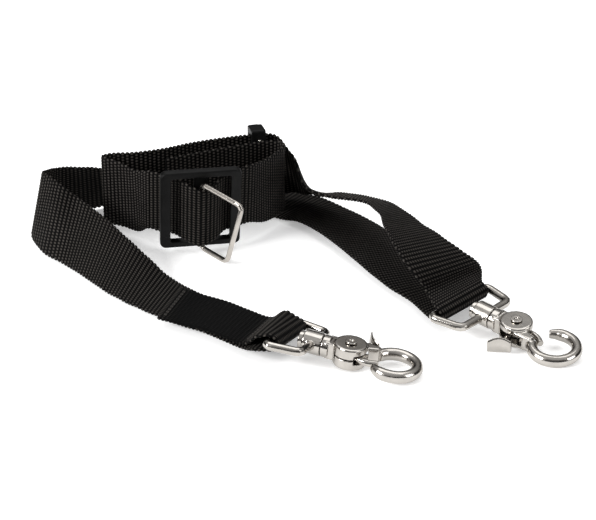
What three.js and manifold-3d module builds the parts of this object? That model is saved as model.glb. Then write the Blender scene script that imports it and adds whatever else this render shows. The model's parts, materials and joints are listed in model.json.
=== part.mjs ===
// Adjustable carrying strap: ribbed webbing, two swivel trigger snaps, a tri-glide slider with a
// wire ring, and a small keeper. Millimetres, +Z up, standing on the plane z = 0.
import * as THREE from "three";
import { mergeVertices } from "three/addons/utils/BufferGeometryUtils.js";
import Module from "manifold-3d";

const wasm = await Module();
wasm.setup();

// ---------- driving dimensions ----------
const WEB_WIDTH = 38;
const WEB_THICKNESS = 2;
const WEB_RAISE = 5;
const GAP = 0.35;

const EYE_WIRE = 4.4;
const EYE_INSIDE = 40.6;
const EYE_DEPTH = 16;
const BOSS_RADIUS = 5.6;
const BOSS_LENGTH = 9;
const BOSS_BORE = 3.2;
const STUD_RADIUS = 2.6;
const COLLAR_RADIUS = 5.4;
const BODY_HEIGHT = 11;
const PIN_X = 18;
const PIN_RADIUS = 1.6;
const RING_X = 40;
const RING_OUTER = 13.4;
const RING_BAR = 5.6;
const SLOT_HEIGHT = 4.4;
const SLIT_HEIGHT = 0.6;
const TRIGGER_B_OPEN = 18;

const SLIDER_LENGTH = 42;
const SLIDER_HEIGHT = 48.6;
const SLIDER_THICKNESS = 4;
const SLIDER_RAIL = 5.2;
const SLIDER_SIDE = 5.4;
const SLIDER_TRAVEL = 4;
const OVER_BAR_END = 13.5;
const CENTRE_BAR = 7;
const RING_WIRE = 2.9;
const RING_REACH = 30.3;
const RING_TAPER = 9.8;
const RING_HIGH = 18.2;
const RING_LOW = -23.2;

const KEEPER_LENGTH = 8;
const KEEPER_DEPTH = 10.6;
const KEEPER_WALL = 2.8;

const SHIFT_X = 5.5;
const SHIFT_Y = 18.35;
const SHIFT_Z = 0.11;

// ---------- materials ----------
const finish = (color, roughness, metalness) =>
  new THREE.MeshStandardMaterial({ color, roughness, metalness });
const NYLON = finish(0x1b1a19, 0.85, 0);
const NICKEL = finish(0xc9c4ba, 0.25, 1);
const BLACK_PLASTIC = finish(0x0c0c0d, 0.45, 0);
const STEEL_WIRE = finish(0xb9b4a8, 0.3, 1);

// ---------- solids ----------
const root = new THREE.Group();

const toSolid = (geometry) => {
  const bare = geometry.clone();
  for (const name of Object.keys(bare.attributes)) {
    if (name !== "position") bare.deleteAttribute(name);
  }
  const merged = mergeVertices(bare, 1e-4);
  return new wasm.Manifold(
    new wasm.Mesh({
      numProp: 3,
      vertProperties: merged.attributes.position.array,
      triVerts: new Uint32Array(merged.index.array),
    }),
  );
};

const toGeometry = (solid) => {
  const mesh = solid.getMesh();
  const geometry = new THREE.BufferGeometry();
  geometry.setAttribute("position", new THREE.BufferAttribute(mesh.vertProperties, 3));
  geometry.setIndex(new THREE.BufferAttribute(mesh.triVerts, 1));
  geometry.computeVertexNormals();
  return geometry;
};

const join = (...geometries) =>
  toGeometry(geometries.map(toSolid).reduce((sum, solid) => sum.add(solid)));
const cut = (geometry, ...tools) =>
  toGeometry(tools.map(toSolid).reduce((left, tool) => left.subtract(tool), toSolid(geometry)));

const add = (name, geometry, material, parent = root) => {
  const mesh = new THREE.Mesh(geometry, material);
  mesh.name = name;
  parent.add(mesh);
  return mesh;
};

const box = (x, y, z, cx = 0, cy = 0, cz = 0) =>
  new THREE.BoxGeometry(x, y, z).translate(cx, cy, cz);
const rodX = (radius, length, x, y = 0, z = 0, sides = 24) =>
  new THREE.CylinderGeometry(radius, radius, length, sides).rotateZ(Math.PI / 2).translate(x, y, z);
const rodZ = (radius, length, x, y, z, sides = 24) =>
  new THREE.CylinderGeometry(radius, radius, length, sides).rotateX(Math.PI / 2).translate(x, y, z);

// A slab of constant height: an outline in the XY plane, extruded along Z about z = 0, edges rounded.
const slab = (shape, height, round = 0, curveSegments = 10) => {
  const geometry = new THREE.ExtrudeGeometry(shape, {
    depth: height - 2 * round,
    bevelEnabled: round > 0,
    bevelThickness: round,
    bevelSize: round,
    bevelOffset: -round,
    bevelSegments: 2,
    curveSegments,
  });
  return geometry.translate(0, 0, -height / 2 + round);
};

const roundedRectangle = (width, height, radius) => {
  const w = width / 2;
  const h = height / 2;
  const shape = new THREE.Shape();
  shape.moveTo(-w + radius, -h);
  shape.lineTo(w - radius, -h);
  shape.absarc(w - radius, -h + radius, radius, -Math.PI / 2, 0);
  shape.lineTo(w, h - radius);
  shape.absarc(w - radius, h - radius, radius, 0, Math.PI / 2);
  shape.lineTo(-w + radius, h);
  shape.absarc(-w + radius, h - radius, radius, Math.PI / 2, Math.PI);
  shape.lineTo(-w, -h + radius);
  shape.absarc(-w + radius, -h + radius, radius, Math.PI, 1.5 * Math.PI);
  return shape;
};

// A closed ring of round wire through the corners given, with rounded corners.
const wireLoop = (corners, radius, wire, sides = 10, steps = 72) => {
  const path = new THREE.CurvePath();
  const count = corners.length;
  const toward = (a, b) => b.clone().sub(a).normalize().multiplyScalar(radius);
  const starts = corners.map((c, i) => c.clone().add(toward(c, corners[(i + count - 1) % count])));
  const ends = corners.map((c, i) => c.clone().add(toward(c, corners[(i + 1) % count])));
  for (let i = 0; i < count; i += 1) {
    path.add(new THREE.QuadraticBezierCurve3(starts[i], corners[i], ends[i]));
    path.add(new THREE.LineCurve3(ends[i], starts[(i + 1) % count]));
  }
  const points = path.getSpacedPoints(steps).slice(0, steps);
  const normal = corners[1].clone().sub(corners[0]).cross(corners[2].clone().sub(corners[1])).normalize();
  const positions = [];
  const index = [];
  points.forEach((p, i) => {
    const along = points[(i + 1) % steps].clone().sub(points[(i + steps - 1) % steps]).normalize();
    const side = new THREE.Vector3().crossVectors(along, normal).normalize();
    for (let k = 0; k < sides; k += 1) {
      const turn = (2 * Math.PI * k) / sides;
      const v = p.clone();
      v.addScaledVector(side, (wire / 2) * Math.cos(turn));
      v.addScaledVector(normal, (wire / 2) * Math.sin(turn));
      positions.push(v.x, v.y, v.z);
      const a = i * sides + k;
      const b = i * sides + ((k + 1) % sides);
      const c = ((i + 1) % steps) * sides + k;
      const d = ((i + 1) % steps) * sides + ((k + 1) % sides);
      index.push(a, b, c, b, d, c);
    }
  });
  const geometry = new THREE.BufferGeometry();
  geometry.setAttribute("position", new THREE.Float32BufferAttribute(positions, 3));
  geometry.setIndex(index);
  return toSolid(geometry).volume() > 0 ? geometry : flip(geometry);
};

const flip = (geometry) => {
  const index = Array.from(geometry.index.array);
  for (let i = 0; i < index.length; i += 3) {
    [index[i + 1], index[i + 2]] = [index[i + 2], index[i + 1]];
  }
  geometry.setIndex(index);
  return geometry;
};

// ---------- webbing ----------
const V = (x, y, z) => new THREE.Vector3(x, y, z);

// A station of the webbing: the middle of its width, and the vector across its width.
const across = (lower, width) => ({
  at: lower.clone().addScaledVector(width, 0.5),
  width,
});
const edges = (far, near) => ({
  at: far.clone().add(near).multiplyScalar(0.5),
  width: near.clone().sub(far),
});
const upright = (x, y) => ({
  at: V(x, y, WEB_RAISE + WEB_WIDTH / 2),
  width: V(0, 0, WEB_WIDTH),
});
// The top edge leans forward, along -Y, by that many millimetres.
const leaning = (at, forward) => ({
  at,
  width: V(0, -forward, Math.sqrt(WEB_WIDTH ** 2 - forward ** 2)),
});

// Webbing along the whole route, from one share of it to another: a band of rectangular section.
const webbing = (from, to, steps) => {
  const positions = [];
  for (let i = 0; i <= steps; i += 1) {
    const t = from + ((to - from) * i) / steps;
    const p = CENTRE.getPoint(t);
    const width = widthAt(t);
    const normal = CENTRE.getTangent(t).cross(width).normalize();
    for (const [s, n] of [[-1, -1], [1, -1], [1, 1], [-1, 1]]) {
      const v = p.clone().addScaledVector(width, s / 2);
      v.addScaledVector(normal, (n * WEB_THICKNESS) / 2);
      positions.push(v.x, v.y, v.z);
    }
  }
  const index = [0, 1, 2, 0, 2, 3];
  for (let i = 0; i < steps; i += 1) {
    for (let k = 0; k < 4; k += 1) {
      const a = 4 * i + k;
      const b = 4 * i + ((k + 1) % 4);
      index.push(a, a + 4, b, b, a + 4, b + 4);
    }
  }
  const last = 4 * steps;
  index.push(last, last + 2, last + 1, last, last + 3, last + 2);
  const geometry = new THREE.BufferGeometry();
  geometry.setAttribute("position", new THREE.Float32BufferAttribute(positions, 3));
  geometry.setIndex(index);
  return toSolid(geometry).volume() > 0 ? geometry : flip(geometry);
};

// ---------- where the pieces lie ----------
const unit = (x, y, z) => V(x, y, z).normalize();

// Each snap: the middle of its swivel boss, which way it points, and which way its lever lies.
const HOOK_TILT = THREE.MathUtils.degToRad(6);
const placed = (at, headingDegrees, rollDegrees) => {
  const group = new THREE.Group();
  const radians = THREE.MathUtils.degToRad;
  group.position.copy(at);
  group.rotation.set(radians(rollDegrees), HOOK_TILT, radians(headingDegrees), "ZYX");
  group.updateMatrixWorld(true);
  return group;
};
const snapAt = (at, headingDegrees, bodyRoll, eyeRoll) => ({
  frame: placed(at, headingDegrees, bodyRoll),
  eye: placed(at, headingDegrees, eyeRoll),
});
const HOOK_A = snapAt(V(7.5, -110, 8.8), -22, 0, -12);
const HOOK_B = snapAt(V(90, -81, 8.8), -41, 188, 0);

// The middle of an eye's strap bar and the directions there, in the part's frame.
const strapBar = (eye) => ({
  at: V(-EYE_DEPTH, 0, 0).applyMatrix4(eye.matrixWorld),
  along: V(0, -1, 0).transformDirection(eye.matrixWorld),
  forward: V(1, 0, 0).transformDirection(eye.matrixWorld),
  up: V(0, 0, 1).transformDirection(eye.matrixWorld),
});
const BAR_A = strapBar(HOOK_A.eye);
const BAR_B = strapBar(HOOK_B.eye);
const FOLD_RADIUS = EYE_WIRE / 2 + GAP + WEB_THICKNESS / 2;

// The tri-glide's own frame: X along the webbing, Y away from the outer face, Z across the webbing.
const SLIDER = new THREE.Group();
SLIDER.position.set(-50.5, 6.3, 27);
SLIDER.rotation.set(THREE.MathUtils.degToRad(15), 0, THREE.MathUtils.degToRad(10), "ZYX");
SLIDER.updateMatrixWorld(true);
const SIDE_CLEAR = SLIDER_THICKNESS / 2 + WEB_THICKNESS / 2 + 0.6;
const WIRE_OUT = SLIDER_THICKNESS / 2 + GAP + RING_WIRE / 2;
const OVER_BAR = WIRE_OUT + RING_WIRE / 2 + GAP + WEB_THICKNESS / 2;
const atSlider = (along, out, share = 1, drop = 0) => ({
  at: V(along, -out, -drop).applyMatrix4(SLIDER.matrixWorld),
  width: V(0, 0, 1).transformDirection(SLIDER.matrixWorld).multiplyScalar(WEB_WIDTH * share),
});

// A half turn round a strap bar. It starts above the bar (+1) or below it (-1); the width vector points
// to the near end of the bar (+1) or to the far end (-1).
const fold = (bar, startSide, widthSide, slack = 0, skew = 0) => {
  const stations = [];
  for (let k = 0; k <= 4; k += 1) {
    const turn = Math.PI * (0.5 - k / 4) * startSide;
    const at = bar.at.clone();
    at.addScaledVector(bar.forward, (FOLD_RADIUS + slack) * Math.cos(turn));
    at.addScaledVector(bar.up, FOLD_RADIUS * Math.sin(turn));
    const width = bar.along.clone().multiplyScalar(WEB_WIDTH * widthSide);
    width.addScaledVector(bar.forward, -2 * skew * Math.cos(turn)).setLength(WEB_WIDTH);
    stations.push({ at, width });
  }
  return stations;
};

// The sewn end lies flat: each station is the lower edge and the vector across, the doubled layer on top.
const SEWN_END = [
  across(V(-25, -112, 6.4), V(13, 35.4, -4)),
  across(V(-34.8, -101, 5), V(11.5, 36, -3.8)),
  across(V(-45.7, -89.5, 4), V(10.5, 36.4, -2.9)),
  across(V(-57, -80.5, 3), V(10, 36.6, -1.9)),
  across(V(-66.5, -71, 2.2), V(10, 36.6, -1)),
];
const TAIL_SHIFT = [0, -1, -2.5, -4.5, -6.5];
const TAIL_RISE = 2.5;
const TAIL_A = SEWN_END.map((s, i) => ({
  at: s.at.clone().addScaledVector(s.width.clone().normalize(), TAIL_SHIFT[i]).add(V(0, 0, TAIL_RISE)),
  width: s.width,
}));
const beside = (bar, back, out, width) => {
  const at = bar.at.clone();
  at.addScaledVector(bar.forward, -back);
  at.addScaledVector(bar.up, out);
  return { at, width };
};

const ROUTE = [];
const section = {};
const lay = (name, stations) => {
  section[name] = [Math.max(ROUTE.length - 1, 0), ROUTE.length - 1 + stations.length];
  ROUTE.push(...stations);
};

lay("tail_a", [...TAIL_A.slice().reverse(), beside(BAR_A, 6, 3.2, V(13.5, 34.9, -4))]);
lay("fold_a", fold(BAR_A, 1, -1, 1.2, 0));
lay("front_run_sewn", [beside(BAR_A, 6, -3.4, V(13.5, 34.9, -4)), ...SEWN_END]);
lay("front_run", [
  across(V(-77.5, -60, 1.4), V(11, 36.2, 1.2)),
  across(V(-87.3, -50.5, 1.2), V(11.2, 35.6, 7)),
  across(V(-97.4, -39, 1.1), V(10.5, 34, 13)),
  across(V(-109, -23, 1.1), V(8.8, 31.4, 19.5)),
  across(V(-121.5, -7, 1), V(7, 27.5, 25)),
  across(V(-132, 4.5, 0.9), V(7.5, 18, 32.6)),
  across(V(-138, 17, 0.7), V(8.5, 8, 36.2)),
]);
lay("left_bend", [
  across(V(-142, 29, 0.6), V(8, 0, 37.1)),
  across(V(-139, 43, 0.6), V(7, -9, 36.2)),
  across(V(-129, 56, 0.6), V(3, -15, 34.8)),
]);
lay("far_run", [
  across(V(-115, 64, 1), V(2, -19, 32.8)),
  across(V(-101, 71, 1.2), V(1, -23, 30.2)),
  across(V(-80, 86, 1.6), V(2, -30, 23)),
]);
lay("under_run", [
  edges(V(-55, 99, 1.8), V(-58, 64, 6)),
  edges(V(-23, 99, 1.2), V(-35, 64, 1.6)),
  edges(V(11, 81, 1.2), V(-11, 50, 1.8)),
]);
lay("lower_run", [
  edges(V(29, 61, 1.2), V(1, 37.5, 5)),
  edges(V(44, 41, 1.2), V(11, 23, 5.6)),
  edges(V(54, 23, 1.2), V(20.7, 5.5, 5.6)),
  edges(V(63, 5, 1.4), V(29.4, -12, 5.4)),
  edges(V(72, -12, 2), V(38, -28.5, 4.6)),
  edges(V(80, -25, 3), V(46.6, -43.5, 4)),
  edges(V(86, -34, 4), V(55, -56, 4)),
]);
lay("fold_b", fold(BAR_B, -1, 1));
lay("upper_run", [
  edges(V(91, -42, 16), V(62, -67.5, 15)),
  edges(V(88, -45, 21), V(58, -70, 22)),
  edges(V(80.5, -43, 25.5), V(51.5, -68, 30)),
  edges(V(72, -32, 27.5), V(47, -60, 35)),
  edges(V(62, -12, 26.5), V(43, -43, 37)),
  edges(V(51, 15.5, 24), V(40, -19, 36)),
  edges(V(37.5, 38, 19.2), V(33.5, 3, 31.8)),
  edges(V(24, 55.5, 14), V(18, 20.2, 26.8)),
]);
lay("back_run", [
  edges(V(10.5, 68, 8), V(4, 36.6, 25.2)),
  edges(V(1.5, 75.5, 5.6), V(-3.5, 56, 37)),
  across(V(-13.5, 74, WEB_RAISE), V(0.4, -3, 37.8)),
  upright(-28, 69),
  upright(-42, 64.4),
  upright(-57, 57.8),
  upright(-73, 48.6),
  upright(-89, 43.2),
]);
lay("loop_left_bend", [
  upright(-98.5, 42.6),
  upright(-104.5, 38.8),
  upright(-100, 34.8),
]);
lay("front_left", [
  leaning(V(-92, 30, 23.6), 3),
  leaning(V(-85, 23.2, 23.2), 6),
  atSlider(-25, -SIDE_CLEAR - 8.6, 1, 2.4),
  atSlider(-OVER_BAR_END - SLIDER_TRAVEL - GAP, -SIDE_CLEAR - 3.2, 1, 1.6),
]);
lay("left_travel", [atSlider(-OVER_BAR_END, -SIDE_CLEAR - 0.8, 0.99, 0.8)]);
lay("over_bar", [
  atSlider(-6, OVER_BAR - 2.4, 0.975, 0.8),
  atSlider(0, OVER_BAR, 0.975, 2.4),
  atSlider(6, OVER_BAR - 2.4, 0.965, 1.2),
  atSlider(OVER_BAR_END, -SIDE_CLEAR),
]);
lay("right_travel", [atSlider(OVER_BAR_END + SLIDER_TRAVEL + GAP, -SIDE_CLEAR - 1.4)]);
lay("front_right", [
  atSlider(26, -SIDE_CLEAR - 4.6),
  leaning(V(-17.5, 32.5, 25.2), 5),
  leaning(V(-10.6, 45.5, 24.3), 2),
]);
lay("loop_right_bend", [upright(-7.5, 54), upright(-10.5, 59.4), upright(-17, 59.8)]);
lay("loop_tail", [upright(-27, 55.5), upright(-42, 48.5), upright(-57, 41), upright(-72, 33.5)]);

// How finely each section is divided. The two travel sections are left open, so the slider can move.
const LENGTH_STEPS = {
  tail_a: 12, fold_a: 12, front_run_sewn: 14, front_run: 20, left_bend: 14, far_run: 12,
  under_run: 12, lower_run: 20, fold_b: 12, upper_run: 26, back_run: 24, loop_left_bend: 12,
  front_left: 16, over_bar: 12, front_right: 16, loop_right_bend: 12, loop_tail: 10,
};
const CENTRE = new THREE.CatmullRomCurve3(ROUTE.map((s) => s.at), false, "centripetal");
const STATION_COUNT = ROUTE.length - 1;
const widthAt = (t) => {
  const place = Math.min(t, 0.999999) * STATION_COUNT;
  const i = Math.floor(place);
  const f = place - i;
  return ROUTE[i].width.clone().lerp(ROUTE[i + 1].width, f * f * (3 - 2 * f));
};
const spanMillimetres = (t, distance) => {
  const step = 1e-4;
  const a = CENTRE.getPoint(Math.max(t - step, 0));
  const b = CENTRE.getPoint(Math.min(t + step, 1));
  return (distance * 2 * step) / a.distanceTo(b);
};
for (const [name, [first, last]] of Object.entries(section)) {
  if (!(name in LENGTH_STEPS)) continue;
  const start = first / STATION_COUNT;
  const end = last / STATION_COUNT;
  const from = start + (first === 0 ? 0 : spanMillimetres(start, GAP / 2));
  const to = end - (last === STATION_COUNT ? 0 : spanMillimetres(end, GAP / 2));
  add(`web_${name}`, webbing(from, to, LENGTH_STEPS[name]), NYLON);
}

// ---------- swivel trigger snaps ----------
const tubeAlong = (points, radii, sides = 12) => {
  const curve = new THREE.CatmullRomCurve3(points);
  const steps = radii.steps;
  const positions = [];
  for (let i = 0; i <= steps; i += 1) {
    const t = i / steps;
    const p = curve.getPoint(t);
    const along = curve.getTangent(t);
    const side = V(0, 0, 1).cross(along).normalize();
    for (let k = 0; k < sides; k += 1) {
      const turn = (2 * Math.PI * k) / sides;
      const v = p.clone().addScaledVector(side, radii.flat(t) * Math.cos(turn));
      v.z += radii.tall(t) * Math.sin(turn);
      positions.push(v.x, v.y, v.z);
    }
  }
  const index = [];
  for (let i = 0; i < steps; i += 1) {
    for (let k = 0; k < sides; k += 1) {
      const a = i * sides + k;
      const b = i * sides + ((k + 1) % sides);
      index.push(a, b, a + sides, b, b + sides, a + sides);
    }
  }
  for (let k = 1; k < sides - 1; k += 1) {
    const e = steps * sides;
    index.push(0, k + 1, k, e, e + k, e + k + 1);
  }
  const geometry = new THREE.BufferGeometry();
  geometry.setAttribute("position", new THREE.Float32BufferAttribute(positions, 3));
  geometry.setIndex(index);
  return toSolid(geometry).volume() > 0 ? geometry : flip(geometry);
};

const onRing = (degrees, radius) => {
  const turn = THREE.MathUtils.degToRad(degrees);
  return V(RING_X + radius * Math.cos(turn), radius * Math.sin(turn), 0);
};
const RING_MID = RING_OUTER - RING_BAR / 2;
const SPINE_START = 152;
const HOOK_TIP = -138;

const eyeGeometry = () => {
  const half = EYE_INSIDE / 2 + EYE_WIRE / 2;
  const loop = wireLoop(
    [V(-EYE_DEPTH, -half, 0), V(0, -half + 3.5, 0), V(0, half - 3.5, 0), V(-EYE_DEPTH, half, 0)],
    3.4, EYE_WIRE, 10, 64,
  );
  return cut(join(loop, rodX(BOSS_RADIUS, BOSS_LENGTH, 0)), rodX(BOSS_BORE, BOSS_LENGTH + 4, 0));
};

const bodyGeometry = () => {
  const swivel = [
    rodX(STUD_RADIUS, 18, 3),
    rodX(4.3, 2.2, -BOSS_LENGTH / 2 - GAP - 1.1),
    rodX(COLLAR_RADIUS, 3.6, BOSS_LENGTH / 2 + GAP + 1.8),
    box(8, 8.4, 8.4, 11, 0, 0),
  ];
  const cheeks = new THREE.Shape();
  cheeks.absarc(PIN_X, 0, 8, 0, 2 * Math.PI);
  const bridge = new THREE.Shape();
  bridge.moveTo(20, 4);
  bridge.lineTo(25.5, 1.5);
  bridge.lineTo(31, 3.5);
  bridge.lineTo(31, 6.6);
  bridge.lineTo(27, 7.2);
  bridge.lineTo(20, 7.5);
  const angles = [];
  for (let k = 0; k <= 14; k += 1) angles.push(SPINE_START + ((HOOK_TIP - SPINE_START) * k) / 14);
  const ring = tubeAlong(angles.map((a) => onRing(a, RING_MID)), {
    steps: 44,
    flat: (t) => (RING_BAR / 2) * (t > 0.9 ? 1 - 3.5 * (t - 0.9) : 1),
    tall: (t) => 3.1 * (t > 0.9 ? 1 - 3 * (t - 0.9) : 1),
  }, 14);
  const whole = join(...swivel, slab(cheeks, BODY_HEIGHT, 1), slab(bridge, 8, 0.8), ring);
  const slot = box(14.2, 20.6, SLOT_HEIGHT, 19, 4.7, 0);
  const gateSlot = box(4.1, 15, SLOT_HEIGHT, 24.05, -7.5, 0);
  const slit = box(14.2, 30, SLIT_HEIGHT, 19, 0, 0);
  return cut(whole, slot, gateSlot, slit, rodZ(PIN_RADIUS + 0.3, 30, PIN_X, 0, 0));
};

const triggerGeometry = () => {
  const hubHeight = SLOT_HEIGHT - 0.8;
  const hub = rodZ(4.4, hubHeight, PIN_X, 0, 0, 28);
  const lever = tubeAlong(
    [V(PIN_X, 1, 0), V(20, 5.5, 0), V(22.8, 9.6, 0), V(25, 12, 0)],
    { steps: 12, flat: () => 1.25, tall: () => 1.75 },
    10,
  );
  const pad = tubeAlong(
    [V(21.6, 19.4, 0), V(22.6, 15.9, 0), V(24.6, 12.6, 0), V(28.2, 10.2, 0)],
    { steps: 18, flat: () => 1, tall: (t) => 3.2 + 1.2 * Math.sin(Math.PI * t) },
    14,
  );
  const gate = tubeAlong(
    [V(PIN_X, -1, 0), V(23, -3.6, 0), V(28.5, -4.6, 0), V(33.2, -3.2, 0)],
    { steps: 14, flat: () => 1.6, tall: () => 1.75 },
    10,
  );
  return cut(
    join(hub, lever, pad, gate), rodZ(PIN_RADIUS + 0.3, 12, PIN_X, 0, 0), rodZ(3.7, 3.2, PIN_X, 0, 2.2),
  );
};

const pinGeometry = () => {
  const headAt = BODY_HEIGHT / 2 + 0.7;
  const rivet = join(
    rodZ(PIN_RADIUS, BODY_HEIGHT + 0.6, PIN_X, 0, 0), rodZ(2.8, 0.8, PIN_X, 0, headAt), rodZ(2.8, 0.8, PIN_X, 0, -headAt),
  );
  return cut(rivet, rodZ(1.1, 1.4, PIN_X, 0, headAt + 0.5, 16), rodZ(1.1, 1.4, PIN_X, 0, -headAt - 0.5, 16));
};

const springGeometry = () => {
  const profile = [[2.2, 0.9], [3.3, 0.9], [3.3, 1.9], [2.2, 1.9], [2.2, 0.9]];
  return new THREE.LatheGeometry(profile.map(([r, z]) => new THREE.Vector2(r, z)), 28)
    .rotateX(Math.PI / 2).translate(PIN_X, 0, 0);
};

// The trigger turned open about its pin, by that many degrees.
const opened = (geometry, degrees) =>
  geometry.translate(-PIN_X, 0, 0).rotateZ(THREE.MathUtils.degToRad(degrees)).translate(PIN_X, 0, 0);

for (const [letter, snap, open] of [["a", HOOK_A, 0], ["b", HOOK_B, TRIGGER_B_OPEN]]) {
  root.add(snap.frame, snap.eye);
  add(`swivel_eye_${letter}`, eyeGeometry(), NICKEL, snap.eye);
  add(`snap_body_${letter}`, bodyGeometry(), NICKEL, snap.frame);
  add(`trigger_${letter}`, opened(triggerGeometry(), open), NICKEL, snap.frame);
  add(`pivot_pin_${letter}`, pinGeometry(), NICKEL, snap.frame);
  add(`trigger_spring_${letter}`, springGeometry(), STEEL_WIRE, snap.frame);
}

// ---------- tri-glide slider and its wire ring ----------
root.add(SLIDER);
const sliderGeometry = () => {
  const outer = slab(roundedRectangle(SLIDER_LENGTH, SLIDER_HEIGHT, 3.4), SLIDER_THICKNESS, 0.7);
  const window = slab(
    roundedRectangle(SLIDER_LENGTH - 2 * SLIDER_SIDE, SLIDER_HEIGHT - 2 * SLIDER_RAIL + 3.2, 1.2), 12);
  const frame = cut(outer, window);
  const bar = box(CENTRE_BAR, SLIDER_HEIGHT - 3, 2.5, 0, 0, -SLIDER_THICKNESS / 2 + 1.25);
  return join(frame, bar).rotateX(Math.PI / 2);
};
add("tri_glide", sliderGeometry(), BLACK_PLASTIC, SLIDER);

const RING_OPEN = THREE.MathUtils.degToRad(-56);
const RING_GROUP = new THREE.Group();
RING_GROUP.position.set(0, -WIRE_OUT, 0);
RING_GROUP.rotation.z = RING_OPEN;
SLIDER.add(RING_GROUP);
const RING_CORNERS = [
  V(0, 0, RING_LOW),
  V(RING_REACH - RING_TAPER, 0, RING_LOW + 2.6),
  V(RING_REACH, 0, RING_HIGH + 3.4),
  V(0, 0, RING_HIGH),
];
add("wire_ring", wireLoop(RING_CORNERS, 3.6, RING_WIRE, 8, 56), STEEL_WIRE, RING_GROUP);

// ---------- keeper ----------
const KEEPER = new THREE.Group();
KEEPER.position.set(-22.5, 70.6, WEB_RAISE + WEB_WIDTH / 2);
KEEPER.rotation.z = THREE.MathUtils.degToRad(15);
root.add(KEEPER);
const keeperGeometry = () => {
  const top = WEB_WIDTH / 2 + 3.6;
  const bottom = -WEB_WIDTH / 2 - 1.5;
  const outer = slab(roundedRectangle(KEEPER_DEPTH, top - bottom, 1.3), KEEPER_LENGTH, 0.5, 5)
    .translate(0, (top + bottom) / 2, 0);
  const inside = slab(roundedRectangle(KEEPER_DEPTH - 2 * KEEPER_WALL, WEB_WIDTH + 0.6, 0.6), 12, 0, 4);
  const lugs = [[top - 3.6, 5], [bottom + 3, 4]].map(([y, tall]) => box(3, tall, 5, -KEEPER_DEPTH / 2 - 1, y, 0));
  return join(cut(outer, inside), ...lugs).rotateY(-Math.PI / 2).rotateX(Math.PI / 2);
};
add("keeper", keeperGeometry(), BLACK_PLASTIC, KEEPER);
add("keeper_wire", rodZ(1, WEB_WIDTH - 3.2, 0, -KEEPER_DEPTH / 2 - 1.2, 0.4, 12), STEEL_WIRE, KEEPER);

// The part stands on z = 0 with the middle of its footprint at the origin.
root.position.set(SHIFT_X, SHIFT_Y, SHIFT_Z);

export default root;
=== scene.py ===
"""Looks of the adjustable carrying strap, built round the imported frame. Metres, +Z up.

The webbing follows the same route as the CAD: each station is a point on the middle of the
strap and the vector across it. Route numbers are in millimetres and scaled once, in strap_rows().
"""
import json
import math

import bmesh
import bpy
import numpy as np
from mathutils import Matrix, Vector


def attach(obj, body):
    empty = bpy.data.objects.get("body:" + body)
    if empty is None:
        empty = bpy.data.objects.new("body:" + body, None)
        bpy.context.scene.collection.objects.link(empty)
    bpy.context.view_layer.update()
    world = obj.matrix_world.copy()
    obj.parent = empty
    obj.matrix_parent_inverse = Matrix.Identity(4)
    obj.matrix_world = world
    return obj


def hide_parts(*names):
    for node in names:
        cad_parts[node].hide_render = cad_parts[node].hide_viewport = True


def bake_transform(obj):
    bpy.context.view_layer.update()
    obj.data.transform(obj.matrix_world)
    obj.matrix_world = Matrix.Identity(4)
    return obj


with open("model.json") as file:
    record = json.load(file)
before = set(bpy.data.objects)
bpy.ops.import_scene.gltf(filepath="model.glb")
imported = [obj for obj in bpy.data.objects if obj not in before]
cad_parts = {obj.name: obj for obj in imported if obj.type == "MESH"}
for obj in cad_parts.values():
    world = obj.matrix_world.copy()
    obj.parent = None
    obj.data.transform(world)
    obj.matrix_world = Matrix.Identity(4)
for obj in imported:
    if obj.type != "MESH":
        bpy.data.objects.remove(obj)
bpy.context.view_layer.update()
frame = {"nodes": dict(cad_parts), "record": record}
nodes = frame["nodes"]
body_with = {n: b for b, ns in frame["record"]["behaviour"]["bodies"].items() for n in ns}

MM = 0.001
SHIFT = np.array([5.5, 18.35, 0.11])

# ---------- camera ----------
CAMERA_AT = np.array([0.0, -906.3, 422.6]) + SHIFT
camera_data = bpy.data.cameras.new("camera")
camera_data.sensor_width = 36.0
camera_data.lens = 116.15
camera_data.clip_start = 0.01
camera_data.clip_end = 20.0
camera = bpy.data.objects.new("camera", camera_data)
camera.location = CAMERA_AT * MM
camera.rotation_euler = (math.radians(65.0), 0.0, 0.0)
bpy.context.collection.objects.link(camera)
bpy.context.scene.camera = camera
bpy.context.scene.view_settings.view_transform = "Standard"

# ---------- the strap's route ----------
WEB_WIDTH = 38.0
WEB_RAISE = 5.0
EYE_WIRE = 4.4
EYE_DEPTH = 16.0
GAP = 0.35
WEB_THICKNESS = 2.0
FOLD_RADIUS = EYE_WIRE / 2 + GAP + WEB_THICKNESS / 2
SLIDER_THICKNESS = 4.0
RING_WIRE = 2.9
SIDE_CLEAR = SLIDER_THICKNESS / 2 + WEB_THICKNESS / 2 + 0.6
WIRE_OUT = SLIDER_THICKNESS / 2 + GAP + RING_WIRE / 2
OVER_BAR = WIRE_OUT + RING_WIRE / 2 + GAP + WEB_THICKNESS / 2
OVER_BAR_END = 13.5
SLIDER_TRAVEL = 4.0


def V(x, y, z):
    return np.array([x, y, z], float)


def turned(at, roll, tilt, heading):
    """A frame at a point: rolled about X, then tilted about Y, then turned about Z, in degrees."""
    r, t, h = (math.radians(a) for a in (roll, tilt, heading))
    turn = (
        Matrix.Rotation(h, 4, "Z") @ Matrix.Rotation(t, 4, "Y") @ Matrix.Rotation(r, 4, "X")
    )
    return Matrix.Translation(Vector(at)) @ turn


def point(matrix, x, y, z):
    return np.array(matrix @ Vector((x, y, z)))


def direction(matrix, x, y, z):
    return np.array(matrix.to_3x3() @ Vector((x, y, z)))


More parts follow.
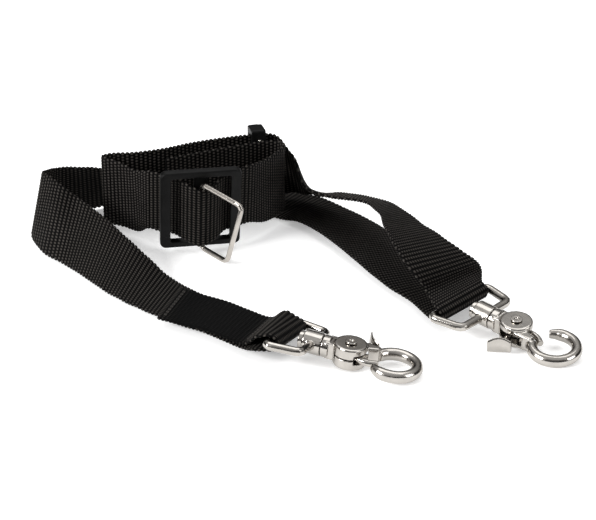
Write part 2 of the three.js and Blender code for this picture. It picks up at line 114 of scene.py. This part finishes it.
HOOK_TILT = 6.0
HOOK_A = turned(V(7.5, -110, 8.8), 0, HOOK_TILT, -22)
EYE_A = turned(V(7.5, -110, 8.8), -12, HOOK_TILT, -22)
HOOK_B = turned(V(90, -81, 8.8), 180, HOOK_TILT, -41)
EYE_B = turned(V(90, -81, 8.8), 0, HOOK_TILT, -41)
SLIDER = turned(V(-50.5, 6.3, 27), 15, 0, 10)


def across(lower, width):
    return lower + width / 2, width


def edges(far, near):
    return (far + near) / 2, near - far


def upright(x, y):
    return V(x, y, WEB_RAISE + WEB_WIDTH / 2), V(0, 0, WEB_WIDTH)


def leaning(at, forward):
    return at, V(0, -forward, math.sqrt(WEB_WIDTH**2 - forward**2))


def at_slider(along, out, share=1.0, drop=0.0):
    return point(SLIDER, along, -out, -drop), direction(SLIDER, 0, 0, 1) * WEB_WIDTH * share


def fold(eye, start_side, width_side, slack=0.0, skew=0.0):
    bar = point(eye, -EYE_DEPTH, 0, 0)
    stations = []
    for k in range(5):
        turn = math.pi * (0.5 - k / 4) * start_side
        forward = direction(eye, 1, 0, 0) * math.cos(turn)
        at = bar + forward * (FOLD_RADIUS + slack)
        at = at + direction(eye, 0, 0, 1) * FOLD_RADIUS * math.sin(turn)
        width = direction(eye, 0, -1, 0) * WEB_WIDTH * width_side - forward * 2 * skew
        stations.append((at, width))
    return stations


def beside(eye, back, out, width):
    return point(eye, -EYE_DEPTH - back, 0, out), width


SEWN_END = [
    across(V(-25, -112, 6.4), V(13, 35.4, -4)),
    across(V(-34.8, -101, 5), V(11.5, 36, -3.8)),
    across(V(-45.7, -89.5, 4), V(10.5, 36.4, -2.9)),
    across(V(-57, -80.5, 3), V(10, 36.6, -1.9)),
    across(V(-66.5, -71, 2.2), V(10, 36.6, -1)),
]
TAIL_SHIFT = [0, -1, -2.5, -4.5, -6.5]
TAIL_RISE = 2.5
TAIL_A = [
    (at + width / np.linalg.norm(width) * shift + V(0, 0, TAIL_RISE), width)
    for (at, width), shift in zip(SEWN_END, TAIL_SHIFT)
]
WIDTH_AT_EYE_A = V(13.5, 34.9, -4)

route = []
last_station = {}


def lay(name, stations):
    route.extend(stations)
    last_station[name] = len(route) - 1


lay("tail_a", TAIL_A[::-1] + [beside(EYE_A, 6, 3.2, WIDTH_AT_EYE_A)])
lay("fold_a", fold(EYE_A, 1, -1, 1.2, 0))
lay("front_run_sewn", [beside(EYE_A, 6, -3.4, WIDTH_AT_EYE_A)] + SEWN_END)
lay("front_run", [
    across(V(-77.5, -60, 1.4), V(11, 36.2, 1.2)),
    across(V(-87.3, -50.5, 1.2), V(11.2, 35.6, 7)),
    across(V(-97.4, -39, 1.1), V(10.5, 34, 13)),
    across(V(-109, -23, 1.1), V(8.8, 31.4, 19.5)),
    across(V(-121.5, -7, 1), V(7, 27.5, 25)),
    across(V(-132, 4.5, 0.9), V(7.5, 18, 32.6)),
    across(V(-138, 17, 0.7), V(8.5, 8, 36.2)),
])
lay("left_bend", [
    across(V(-142, 29, 0.6), V(8, 0, 37.1)),
    across(V(-139, 43, 0.6), V(7, -9, 36.2)),
    across(V(-129, 56, 0.6), V(3, -15, 34.8)),
])
lay("far_run", [
    across(V(-115, 64, 1), V(2, -19, 32.8)),
    across(V(-101, 71, 1.2), V(1, -23, 30.2)),
    across(V(-80, 86, 1.6), V(2, -30, 23)),
])
lay("under_run", [
    edges(V(-55, 99, 1.8), V(-58, 64, 6)),
    edges(V(-23, 99, 1.2), V(-35, 64, 1.6)),
    edges(V(11, 81, 1.2), V(-11, 50, 1.8)),
])
lay("lower_run", [
    edges(V(29, 61, 1.2), V(1, 37.5, 5)),
    edges(V(44, 41, 1.2), V(11, 23, 5.6)),
    edges(V(54, 23, 1.2), V(20.7, 5.5, 5.6)),
    edges(V(63, 5, 1.4), V(29.4, -12, 5.4)),
    edges(V(72, -12, 2), V(38, -28.5, 4.6)),
    edges(V(80, -25, 3), V(46.6, -43.5, 4)),
    edges(V(86, -34, 4), V(55, -56, 4)),
])
lay("fold_b", fold(EYE_B, -1, 1))
lay("upper_run", [
    edges(V(91, -42, 16), V(62, -67.5, 15)),
    edges(V(88, -45, 21), V(58, -70, 22)),
    edges(V(80.5, -43, 25.5), V(51.5, -68, 30)),
    edges(V(72, -32, 27.5), V(47, -60, 35)),
    edges(V(62, -12, 26.5), V(43, -43, 37)),
    edges(V(51, 15.5, 24), V(40, -19, 36)),
    edges(V(37.5, 38, 19.2), V(33.5, 3, 31.8)),
    edges(V(24, 55.5, 14), V(18, 20.2, 26.8)),
])
lay("back_run", [
    edges(V(10.5, 68, 8), V(4, 36.6, 25.2)),
    edges(V(1.5, 75.5, 5.6), V(-3.5, 56, 37)),
    across(V(-13.5, 74, WEB_RAISE), V(0.4, -3, 37.8)),
    upright(-28, 69),
    upright(-42, 64.4),
    upright(-57, 57.8),
    upright(-73, 48.6),
    upright(-89, 43.2),
])
lay("loop_left_bend", [upright(-98.5, 42.6), upright(-104.5, 38.8), upright(-100, 34.8)])
lay("front_left", [
    leaning(V(-92, 30, 23.6), 3),
    leaning(V(-85, 23.2, 23.2), 6),
    at_slider(-25, -SIDE_CLEAR - 8.6, 1.0, 2.4),
])
lay("left_travel", [
    at_slider(-OVER_BAR_END - SLIDER_TRAVEL - GAP, -SIDE_CLEAR - 3.2, 1.0, 1.6),
    at_slider(-OVER_BAR_END, -SIDE_CLEAR - 0.8, 0.99, 0.8),
])
lay("over_bar", [
    at_slider(-6, OVER_BAR - 2.4, 0.975, 0.8),
    at_slider(0, OVER_BAR, 0.975, 2.4),
    at_slider(6, OVER_BAR - 2.4, 0.965, 1.2),
    at_slider(OVER_BAR_END, -SIDE_CLEAR),
])
lay("right_travel", [
    at_slider(OVER_BAR_END + SLIDER_TRAVEL + GAP, -SIDE_CLEAR - 1.4),
    at_slider(26, -SIDE_CLEAR - 4.6),
])
lay("front_right", [leaning(V(-17.5, 32.5, 25.2), 5), leaning(V(-10.6, 45.5, 24.3), 2)])
lay("loop_right_bend", [upright(-7.5, 54), upright(-10.5, 59.4), upright(-17, 59.8)])
lay("loop_tail", [upright(-27, 55.5), upright(-42, 48.5), upright(-57, 41), upright(-72, 33.5)])

# ---------- rows along the strap ----------
RIB_PITCH = 2.4
ROWS_PER_RIB = 5
SAMPLES = 40
SMOOTH_OPEN = 40
SMOOTH_TIGHT = 2
TIGHT = ("fold_a", "fold_b", "left_travel", "over_bar", "right_travel")


def catmull(points, k, f):
    """A point on the centripetal Catmull-Rom curve through the points, on segment k at share f."""
    p1, p2 = points[k], points[k + 1]
    p0 = points[k - 1] if k > 0 else 2 * p1 - p2
    p3 = points[k + 2] if k + 2 < len(points) else 2 * p2 - p1
    d0, d1, d2 = (math.sqrt(np.linalg.norm(b - a)) for a, b in ((p0, p1), (p1, p2), (p2, p3)))
    t1 = ((p1 - p0) / d0 - (p2 - p0) / (d0 + d1) + (p2 - p1) / d1) * d1
    t2 = ((p2 - p1) / d1 - (p3 - p1) / (d1 + d2) + (p3 - p2) / d2) * d1
    f = np.asarray(f)[:, None]
    c2 = -3 * p1 + 3 * p2 - 2 * t1 - t2
    c3 = 2 * p1 - 2 * p2 + t1 + t2
    return p1 + t1 * f + c2 * f**2 + c3 * f**3


def resampled(values, arc, even):
    return np.stack([np.interp(even, arc, values[:, i]) for i in range(3)], 1)


def strap_rows():
    """Evenly spaced rows along the strap: arclength in mm, centre, width vector and normal."""
    points = [at for at, _ in route]
    shares = np.arange(SAMPLES) / SAMPLES
    ease = (shares**2 * (3 - 2 * shares))[:, None]
    centre, width, station = [], [], []
    for k in range(len(route) - 1):
        centre.append(catmull(points, k, shares))
        width.append(route[k][1] * (1 - ease) + route[k + 1][1] * ease)
        station.append(k + shares)
    centre = np.vstack(centre + [points[-1][None]])
    width = np.vstack(width + [route[-1][1][None]])
    station = np.concatenate(station + [[len(route) - 1.0]])
    step = np.linalg.norm(np.diff(centre, axis=0), axis=1)
    arc = np.concatenate([[0], np.cumsum(step)])

    spacing = RIB_PITCH / ROWS_PER_RIB
    even = np.arange(0, arc[-1], spacing)
    centre = resampled(centre, arc, even)
    width = resampled(width, arc, even)
    station = np.interp(even, arc, station)

    tight = np.zeros(len(even))
    names = list(last_station)
    for name in TIGHT:
        start = last_station[names[names.index(name) - 1]] - 0.6
        tight[(station > start) & (station < last_station[name] + 0.6)] = 1
    tight[:6] = 1
    tight[-6:] = 1
    everywhere = np.full(len(even) - 2, 0.5)
    open_only = 0.5 * (1 - tight[1:-1])
    for values in (centre, width):
        for turn in range(SMOOTH_OPEN):
            share = everywhere if turn < SMOOTH_TIGHT else open_only
            middle = (values[:-2] + values[2:]) / 2
            values[1:-1] += (middle - values[1:-1]) * share[:, None]
    along = np.gradient(centre, axis=0)
    normal = np.cross(along, width)
    normal /= np.linalg.norm(normal, axis=1)[:, None]
    return even, (centre + SHIFT) * MM, width * MM, normal, station


ARC, CENTRE, WIDTH, NORMAL, STATION = strap_rows()


def row_at(station):
    """The rib valley nearest a station."""
    return int(round(np.searchsorted(STATION, station) / ROWS_PER_RIB) * ROWS_PER_RIB)


# ---------- materials ----------
def new_material(name):
    material = bpy.data.materials.new(name)
    material.use_nodes = True
    tree = material.node_tree
    return material, tree, tree.nodes["Principled BSDF"]


def add_noise(tree, scale, detail=3.0, stretch=None):
    coords = tree.nodes.new("ShaderNodeTexCoord")
    noise = tree.nodes.new("ShaderNodeTexNoise")
    noise.inputs["Scale"].default_value = scale
    noise.inputs["Detail"].default_value = detail
    source = coords.outputs["Object"]
    if stretch:
        mapping = tree.nodes.new("ShaderNodeMapping")
        mapping.inputs["Scale"].default_value = stretch
        tree.links.new(source, mapping.inputs["Vector"])
        source = mapping.outputs["Vector"]
    tree.links.new(source, noise.inputs["Vector"])
    return noise.outputs["Fac"]


def add_ramp(tree, value, stops):
    ramp = tree.nodes.new("ShaderNodeValToRGB")
    elements = ramp.color_ramp.elements
    while len(elements) < len(stops):
        elements.new(0.5)
    for element, (place, colour) in zip(elements, stops):
        element.position = place
        element.color = (*colour, 1.0)
    tree.links.new(value, ramp.inputs["Fac"])
    return ramp.outputs["Color"]


def add_range(tree, value, low, high):
    spread = tree.nodes.new("ShaderNodeMapRange")
    spread.inputs["To Min"].default_value = low
    spread.inputs["To Max"].default_value = high
    tree.links.new(value, spread.inputs["Value"])
    return spread.outputs["Result"]


def add_bump(tree, shader, height, strength, distance):
    bump = tree.nodes.new("ShaderNodeBump")
    bump.inputs["Strength"].default_value = strength
    bump.inputs["Distance"].default_value = distance
    tree.links.new(height, bump.inputs["Height"])
    tree.links.new(bump.outputs["Normal"], shader.inputs["Normal"])


def nylon(name, valley, crest):
    material, tree, shader = new_material(name)
    relief = tree.nodes.new("ShaderNodeAttribute")
    relief.attribute_name = "relief"
    # Colour ramp on the rib relief: the near-black valleys are painted shade in the hollows between
    # the ribs, and the lighter crests are partly wear and partly painted light.
    rib_shade_and_light = add_ramp(tree, relief.outputs["Fac"], [(0.58, valley), (1.0, crest)])
    blotch = add_range(tree, add_noise(tree, 90.0, 2.0), 0.75, 1.25)
    tint = tree.nodes.new("ShaderNodeVectorMath")
    tint.operation = "SCALE"
    tree.links.new(rib_shade_and_light, tint.inputs[0])
    tree.links.new(blotch, tint.inputs["Scale"])
    tree.links.new(tint.outputs["Vector"], shader.inputs["Base Color"])
    shader.inputs["Roughness"].default_value = 0.66
    shader.inputs["Specular IOR Level"].default_value = 0.05
    shader.inputs["Sheen Weight"].default_value = 0.02
    shader.inputs["Sheen Roughness"].default_value = 0.4
    add_bump(tree, shader, add_noise(tree, 5200.0, 4.0), 0.35, 0.00012)
    return material


def metal(name, colour, rough_low, rough_high):
    material, tree, shader = new_material(name)
    shader.inputs["Metallic"].default_value = 1.0
    darker = tuple(c * 0.86 for c in colour)
    tone = add_ramp(tree, add_noise(tree, 160.0), [(0.35, darker), (0.65, colour)])
    tree.links.new(tone, shader.inputs["Base Color"])
    rough = add_range(tree, add_noise(tree, 420.0, 5.0), rough_low, rough_high)
    tree.links.new(rough, shader.inputs["Roughness"])
    add_bump(tree, shader, add_noise(tree, 340.0, 3.0), 0.12, 0.0002)
    return material


def plastic(name):
    material, tree, shader = new_material(name)
    tone = add_ramp(
        tree, add_noise(tree, 120.0), [(0.3, (0.002, 0.002, 0.002)), (0.7, (0.005, 0.005, 0.005))]
    )
    tree.links.new(tone, shader.inputs["Base Color"])
    rough = add_range(tree, add_noise(tree, 700.0, 4.0), 0.34, 0.5)
    tree.links.new(rough, shader.inputs["Roughness"])
    shader.inputs["Specular IOR Level"].default_value = 0.1
    add_bump(tree, shader, add_noise(tree, 2600.0, 2.0), 0.18, 0.0001)
    return material


# For the ribbed nylon, the near-black valley colour is painted shade in the rib hollows, and the
# lighter crest colour is partly wear and partly painted light.
NYLON = nylon("ribbed_nylon", (0.0004, 0.0004, 0.0004), (0.052, 0.047, 0.042))
THREAD = nylon("bonded_thread", (0.012, 0.011, 0.010), (0.045, 0.042, 0.039))
NICKEL = metal("nickel_plate", (0.45, 0.427, 0.397), 0.11, 0.22)
WIRE = metal("steel_wire", (0.46, 0.43, 0.395), 0.16, 0.30)
PLASTIC = plastic("moulded_plastic")
SLOT_MATERIAL = {"webbing": NYLON, "nickel": NICKEL, "wire": WIRE, "plastic": PLASTIC}


def mesh_object(name, vertices, faces, material):
    mesh = bpy.data.meshes.new(name)
    faces = np.asarray(faces, np.int32)
    mesh.vertices.add(len(vertices))
    mesh.vertices.foreach_set("co", np.asarray(vertices, np.float32).ravel())
    mesh.loops.add(faces.size)
    mesh.loops.foreach_set("vertex_index", faces.ravel())
    mesh.polygons.add(len(faces))
    mesh.polygons.foreach_set("loop_start", np.arange(0, faces.size, faces.shape[1], dtype=np.int32))
    mesh.polygons.foreach_set("use_smooth", np.ones(len(faces), bool))
    mesh.update(calc_edges=True)
    mesh.validate()
    mesh.materials.append(material)
    obj = bpy.data.objects.new(name, mesh)
    bpy.context.collection.objects.link(obj)
    return obj


# ---------- ribbed webbing ----------
BUMPS_ACROSS = 23
COLUMNS_PER_BUMP = 4
CORE_HALF = 0.36 * MM
RELIEF = 0.66 * MM
EDGE_ROUND = 1.5
SCALLOP = 0.9 * MM


def relief_at(arc, u):
    """Height of the woven ribs, 0 in the valleys to 1 on a crest. u runs from -1 to 1 across."""
    rib = np.floor(arc / RIB_PITCH + 1e-6)
    place = arc / RIB_PITCH - rib
    profile = np.abs(np.sin(np.pi * place)) ** 0.6
    cycle = (u + 1) / 2 * BUMPS_ACROSS + 0.5 * (rib % 2)
    grain = np.abs(np.cos(np.pi * cycle)) ** 0.7
    return profile * (0.3 + 0.7 * grain)


def webbing(name, first, last, flatten=None):
    """A closed band of webbing between two rows, with its ribs, grain and scalloped edges."""
    rows = np.arange(first, last + 1)
    columns = BUMPS_ACROSS * COLUMNS_PER_BUMP + 1
    u = np.linspace(-1, 1, columns)
    arc = ARC[rows][:, None]
    relief = relief_at(arc, u[None])
    if flatten is not None:
        relief = relief * flatten(arc)
    inward = np.clip((np.abs(u) - 1) * WEB_WIDTH / 2 + EDGE_ROUND, 0, None) / EDGE_ROUND
    rounding = np.sqrt(np.clip(1 - inward**2 * 0.92, 0, 1))[None]
    half = np.linalg.norm(WIDTH[rows], axis=1)[:, None] / 2
    side = WIDTH[rows] / (2 * half)
    scallop = SCALLOP * (relief_at(arc, np.full((1, columns), 0.5)) - 0.5) * np.abs(u)[None] ** 12
    reach = u[None] * (half - 0.2 * MM) + np.sign(u)[None] * scallop
    lift = (CORE_HALF + RELIEF * relief) * rounding
    flat = CENTRE[rows][:, None] + side[:, None] * reach[..., None]
    top = flat + NORMAL[rows][:, None] * lift[..., None]
    bottom = flat - NORMAL[rows][:, None] * lift[..., None]
    ring = np.concatenate([top, bottom[:, ::-1]], axis=1)
    ring_relief = np.concatenate([relief, relief[:, ::-1]], axis=1)
    n, m = ring.shape[:2]
    i, j = np.meshgrid(np.arange(n - 1), np.arange(m), indexing="ij")
    a, b = i * m + j, i * m + (j + 1) % m
    walls = np.stack([a, b, b + m, a + m], -1).reshape(-1, 4)
    k = np.arange(columns - 1)
    start = np.stack([k, 2 * columns - 1 - k, 2 * columns - 2 - k, k + 1], -1)
    end = start[:, ::-1] + (n - 1) * m
    obj = mesh_object(name, ring.reshape(-1, 3), np.vstack([walls, start, end]), NYLON)
    # The relief also sets the nylon colour, with painted shade in the valleys and painted light on
    # the crests.
    height = obj.data.attributes.new("relief", "FLOAT", "POINT")
    height.data.foreach_set("value", ring_relief.astype(np.float32).ravel())
    make_outward(obj)
    return obj


def make_outward(obj):
    """Turns the faces round if the closed mesh is inside out."""
    shape = bmesh.new()
    shape.from_mesh(obj.data)
    if shape.calc_volume(signed=True) < 0:
        bmesh.ops.reverse_faces(shape, faces=shape.faces)
        shape.to_mesh(obj.data)
    shape.free()


SEWN_MIDDLE = 30.0
SEWN_HALF = 27.0


def sewn_flat(arc):
    """The stitched end is pressed flatter than the rest."""
    return 1 - 0.5 * np.exp(-(((arc - SEWN_MIDDLE) / SEWN_HALF) ** 4))


cuts = {
    "start": 0,
    "front": row_at(last_station["front_run"]),
    "far": row_at(last_station["under_run"]),
    "lower": row_at(last_station["fold_b"] - 2),
    "upper": row_at(last_station["upper_run"]),
    "oval": row_at(last_station["loop_left_bend"]),
    "front_left": row_at(last_station["front_left"]),
    "left_travel": row_at(last_station["left_travel"]),
    "over_bar": row_at(last_station["over_bar"]),
    "right_travel": row_at(last_station["right_travel"]),
    "end": len(ARC) // ROWS_PER_RIB * ROWS_PER_RIB - ROWS_PER_RIB,
}
PIECES = [
    ("webbing_front_run", "start", "front", "strap", "folded",
     ["web_tail_a", "web_fold_a", "web_front_run_sewn", "web_front_run"]),
    ("webbing_far_run", "front", "far", "strap", "laid",
     ["web_left_bend", "web_far_run", "web_under_run"]),
    ("webbing_lower_run", "far", "lower", "strap", "laid", ["web_lower_run"]),
    ("webbing_upper_run", "lower", "upper", "strap", "folded", ["web_fold_b", "web_upper_run"]),
    ("webbing_back_layer", "upper", "oval", "strap", "laid", ["web_back_run", "web_loop_left_bend"]),
    ("webbing_front_layer", "oval", "front_left", "strap", "laid", ["web_front_left"]),
    ("webbing_into_slider", "front_left", "left_travel", None, "laid", []),
    ("webbing_over_bar", "left_travel", "over_bar", "slider", "laid", ["web_over_bar"]),
    ("webbing_out_of_slider", "over_bar", "right_travel", None, "laid", []),
    ("webbing_inner_layer", "right_travel", "end", "strap", "laid",
     ["web_front_right", "web_loop_right_bend", "web_loop_tail"]),
]
for name, first, last, body, held, stands_for in PIECES:
    band = webbing(name, cuts[first], cuts[last], sewn_flat if first == "start" else None)
    if body:
        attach(band, body)
    else:
        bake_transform(band)
    if stands_for:
        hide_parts(*stands_for)

# ---------- stitching ----------
STITCH_LENGTH = 2.3
STITCH_STEP = 2.9
STITCH_THICK = 0.36
AROUND = 8
RINGS = 7


def surface_point(arc, u, lift):
    """A point above the face of the strap at that length and share across."""
    place = arc / (RIB_PITCH / ROWS_PER_RIB)
    k = int(place)
    f = place - k
    centre, width, normal = (
        values[k] * (1 - f) + values[k + 1] * f for values in (CENTRE, WIDTH, NORMAL)
    )
    return centre + width * u / 2 + normal * lift * MM


def stitched(name, lines, lift):
    """Rows of thread. Each line runs between two (arc, u) ends: millimetres along, share across."""
    vertices, faces = [], []
    for (arc0, u0), (arc1, u1) in lines:
        span = math.hypot(arc1 - arc0, (u1 - u0) * WEB_WIDTH / 2)
        count = max(2, int(span / STITCH_STEP))
        for k in range(count):
            middle = (k + 0.5) / count
            reach = STITCH_LENGTH / span / 2
            ends = [surface_point(arc0 + (arc1 - arc0) * t, u0 + (u1 - u0) * t, lift)
                    for t in (middle - reach, middle + reach)]
            axis = Vector(ends[1] - ends[0])
            turn = axis.to_track_quat("Z", "Y").to_matrix()
            base = len(vertices)
            for r in range(RINGS):
                lat = math.pi * (r + 0.5) / RINGS
                for a in range(AROUND):
                    lon = 2 * math.pi * a / AROUND
                    local = Vector((
                        STITCH_THICK * MM * math.sin(lat) * math.cos(lon),
                        STITCH_THICK * MM * math.sin(lat) * math.sin(lon),
                        -math.cos(lat) * axis.length * 0.5,
                    ))
                    vertices.append(Vector((ends[0] + ends[1]) / 2) + turn @ local)
            for r in range(RINGS - 1):
                for a in range(AROUND):
                    p, q = base + r * AROUND + a, base + r * AROUND + (a + 1) % AROUND
                    faces.append((p, q, q + AROUND, p + AROUND))
            for r, order in ((0, -1), (RINGS - 1, 1)):
                loop = [base + r * AROUND + a for a in range(AROUND)][::order]
                faces.extend([(loop[0], loop[i], loop[i + 1], loop[i + 2]) for i in (1, 3, 5)])
    obj = mesh_object(name, [tuple(v) for v in vertices], faces, THREAD)
    height = obj.data.attributes.new("relief", "FLOAT", "POINT")
    height.data.foreach_set("value", np.ones(len(vertices), np.float32))
    return obj


TACK_NEAR_END = 3.2
TACK_NEAR_FOLD = 58.0
TACK_SHARE = 0.82
TACK_GAP = 0.9
tack_lines = [
    ((at + row * TACK_GAP, -TACK_SHARE), (at + row * TACK_GAP, TACK_SHARE))
    for at in (TACK_NEAR_END, TACK_NEAR_FOLD)
    for row in range(2)
]
THREAD_LIFT = 0.85
stitches = stitched("stitching", tack_lines, THREAD_LIFT)
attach(stitches, "strap")


# ---------- cast and moulded pieces ----------
def softened(node, voxel, passes, material):
    """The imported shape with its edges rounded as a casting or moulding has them."""
    source = nodes[node]
    mesh = source.data.copy()
    obj = bpy.data.objects.new(node + "_finished", mesh)
    bpy.context.collection.objects.link(obj)
    remesh = obj.modifiers.new("remesh", "REMESH")
    remesh.mode = "VOXEL"
    remesh.voxel_size = voxel * MM
    smooth = obj.modifiers.new("smooth", "SMOOTH")
    smooth.factor = 0.5
    smooth.iterations = passes
    graph = bpy.context.evaluated_depsgraph_get()
    finished = bpy.data.meshes.new_from_object(obj.evaluated_get(graph))
    obj.modifiers.clear()
    obj.data = finished
    finished.materials.clear()
    finished.materials.append(material)
    finished.polygons.foreach_set("use_smooth", np.ones(len(finished.polygons), bool))
    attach(obj, body_with[node])
    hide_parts(node)
    return obj


COARSE = 1.0
for letter in "ab":
    softened(f"swivel_eye_{letter}", 0.26 * COARSE, 9, NICKEL)
    softened(f"snap_body_{letter}", 0.24 * COARSE, 9, NICKEL)
    softened(f"trigger_{letter}", 0.22 * COARSE, 5, NICKEL)
    softened(f"pivot_pin_{letter}", 0.16 * COARSE, 5, NICKEL)
softened("tri_glide", 0.3 * COARSE, 4, PLASTIC)
softened("keeper", 0.25 * COARSE, 4, PLASTIC)
softened("wire_ring", 0.22 * COARSE, 7, WIRE)
softened("keeper_wire", 0.16 * COARSE, 4, WIRE)

slot_of = {part["node"]: part["material_slot"] for part in frame["record"]["subparts"]}
for name, obj in nodes.items():
    obj.data.materials.clear()
    obj.data.materials.append(SLOT_MATERIAL[slot_of[name]])

# ---------- floor, light and world ----------
FLOOR_SIZE = 6.0
floor = mesh_object(
    "floor",
    [(x * FLOOR_SIZE, y * FLOOR_SIZE, 0) for x, y in ((-1, -1), (1, -1), (1, 1), (-1, 1))],
    [(0, 1, 2, 3)],
    bpy.data.materials.new("pale_floor"),
)
floor_material = floor.data.materials[0]
floor_material.use_nodes = True
floor_shader = floor_material.node_tree.nodes["Principled BSDF"]
floor_shader.inputs["Base Color"].default_value = (0.93, 0.93, 0.93, 1)
floor_shader.inputs["Roughness"].default_value = 0.7
floor_shader.inputs["Specular IOR Level"].default_value = 0.1
floor_shader.inputs["Emission Color"].default_value = (1, 1, 1, 1)
floor_shader.inputs["Emission Strength"].default_value = 0.35

world = bpy.data.worlds.new("studio")
bpy.context.scene.world = world
world.use_nodes = True
background = world.node_tree.nodes["Background"]
tree = world.node_tree
sky = tree.nodes.new("ShaderNodeTexCoord")
split = tree.nodes.new("ShaderNodeSeparateXYZ")
tree.links.new(sky.outputs["Generated"], split.inputs["Vector"])
DOME = [
    (0.0, (0.04, 0.04, 0.04)),
    (0.32, (0.05, 0.05, 0.05)),
    (0.5, (0.38, 0.37, 0.36)),
    (0.8, (0.9, 0.9, 0.9)),
]
dome = add_ramp(tree, split.outputs["Z"], DOME)
tree.links.new(dome, background.inputs["Color"])
background.inputs["Strength"].default_value = 0.8


def softbox(name, place, size, power):
    light = bpy.data.lights.new(name, "AREA")
    light.shape = "RECTANGLE"
    light.size, light.size_y = size
    light.energy = power
    lamp = bpy.data.objects.new(name, light)
    lamp.location = place
    lamp.rotation_euler = (-Vector(place)).to_track_quat("-Z", "Y").to_euler()
    bpy.context.collection.objects.link(lamp)


softbox("key", (-1.5, -0.8, 0.85), (0.9, 0.6), 42)
softbox("top", (0.1, 0.5, 1.8), (1.8, 1.2), 12)
softbox("fill", (1.4, -0.7, 0.7), (0.8, 0.6), 8)
